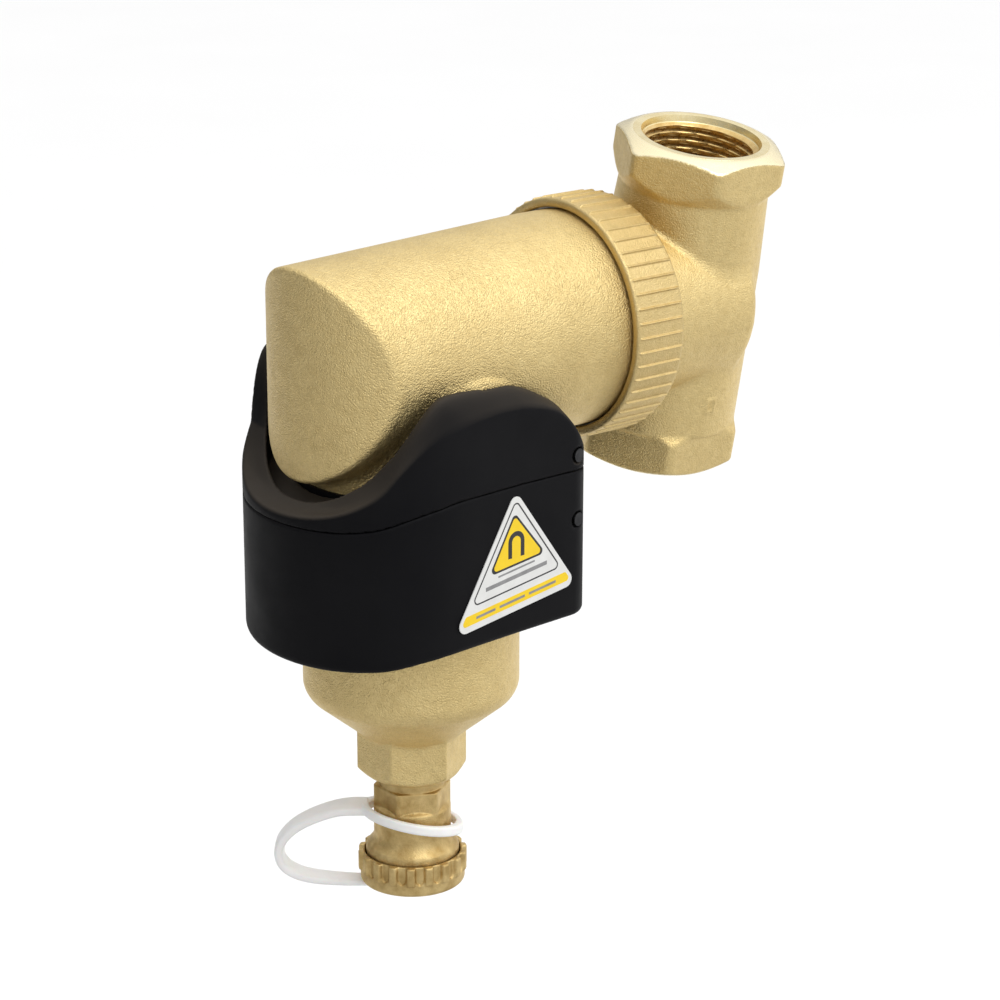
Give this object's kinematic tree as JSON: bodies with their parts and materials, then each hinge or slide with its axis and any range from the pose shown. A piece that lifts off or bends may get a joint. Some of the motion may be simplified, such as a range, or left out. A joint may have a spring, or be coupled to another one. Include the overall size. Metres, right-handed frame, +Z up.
{
  "type": "magnetic system filter",
  "caption": "Brass in-line dirt filter: a chamber hung from a pipe tee by a union, with a slide-off black magnet sleeve and a capped drain valve on a strap.",
  "frame": {"origin": "centre of the pipe tee, where the pipe axis meets the union axis", "axes": "+Z up, against the hanging chamber's axis; -Y along the union arm from the pipe to the chamber; the pipe run leans from +Z towards +X"},
  "size_m": [0.0736, 0.1675, 0.2097],
  "materials": {
    "cast_brass": "sand cast and shot blasted, machined on the port faces",
    "drain_brass": "plain machined, dull",
    "moulded_insert": "moulded insert inside the water way",
    "steel": "plated",
    "rubber": "moulded seal",
    "copper": "wound copper wire on a core",
    "strap_white": "soft moulded strap",
    "black_plastic": "fine moulded texture, soft sheen",
    "magnet_coat": "nickel plated",
    "label_film": "printed film"
  },
  "bodies": {
    "pipe_tee": {"tee_body": "cast_brass", "flow_divider": "moulded_insert"},
    "housing": {"housing_body": "cast_brass", "arm_retaining_clip": "steel", "union_o_ring": "rubber", "flow_tube": "moulded_insert", "separator_core": "copper", "separator_coil": "copper", "field_booster_rod_1": "steel", "field_booster_rod_2": "steel", "field_booster_rod_3": "steel", "field_booster_rod_4": "steel", "drain_valve_body": "drain_brass", "strap_neck_ring": "strap_white", "strap_loop": "strap_white"},
    "nut_carriage": {"nut_slip_washer": "steel"},
    "ring_nut": {"union_ring_nut": "cast_brass"},
    "seal_carriage": {"valve_seat_seal": "rubber"},
    "spindle": {"valve_spindle": "drain_brass"},
    "cap_carriage": {"cap_gasket": "rubber", "strap_cap_ring": "strap_white"},
    "cap": {"drain_cap": "drain_brass", "strap_rivet": "strap_white"},
    "sleeve": {"sleeve_upper_cover": "black_plastic", "sleeve_lower_shell": "black_plastic", "sleeve_liner": "black_plastic", "magnet_1": "magnet_coat", "magnet_2": "magnet_coat", "magnet_3": "magnet_coat", "magnet_4": "magnet_coat", "magnet_5": "magnet_coat", "magnet_6": "magnet_coat", "keeper_plate": "steel", "cover_screw_right": "steel", "cover_screw_left": "steel", "shell_screw_right": "steel", "shell_screw_left": "steel", "sleeve_label": "label_film"}
  },
  "joints": [
    {"name": "union_swivel", "type": "hinge", "parent": "pipe_tee", "child": "housing", "pos_m": [0, 0, 0], "axis": [0, 1, 0], "continuous": true},
    {"name": "nut_travel", "type": "slide", "parent": "housing", "child": "nut_carriage", "axis": [0, -1, 0], "range_m": [0, 0.012]},
    {"name": "nut_turn", "type": "hinge", "parent": "nut_carriage", "child": "ring_nut", "pos_m": [0, -0.036, 0], "axis": [0, -1, 0], "range_deg": [0, 1872]},
    {"name": "seal_lift", "type": "slide", "parent": "housing", "child": "seal_carriage", "axis": [0, 0, -1], "range_m": [0, 0.003]},
    {"name": "spindle_turn", "type": "hinge", "parent": "seal_carriage", "child": "spindle", "pos_m": [0, -0.0972, -0.13], "axis": [0, 0, -1], "range_deg": [0, 1081]},
    {"name": "cap_travel", "type": "slide", "parent": "housing", "child": "cap_carriage", "axis": [0, 0, -1], "range_m": [0, 0.009], "deforming": ["strap_loop"]},
    {"name": "cap_turn", "type": "hinge", "parent": "cap_carriage", "child": "cap", "pos_m": [0, -0.0972, -0.15], "axis": [0, 0, -1], "range_deg": [0, 1787]},
    {"name": "sleeve_slide", "type": "slide", "parent": "housing", "child": "sleeve", "axis": [0, 0, -1], "range_m": [0, 0.045]}
  ],
  "couplings": [
    {"joint": "nut_turn", "follows": "nut_travel", "rad_per_m": 2721.2},
    {"joint": "spindle_turn", "follows": "seal_lift", "rad_per_m": 6283.2},
    {"joint": "cap_turn", "follows": "cap_travel", "rad_per_m": 3463.7}
  ]
}
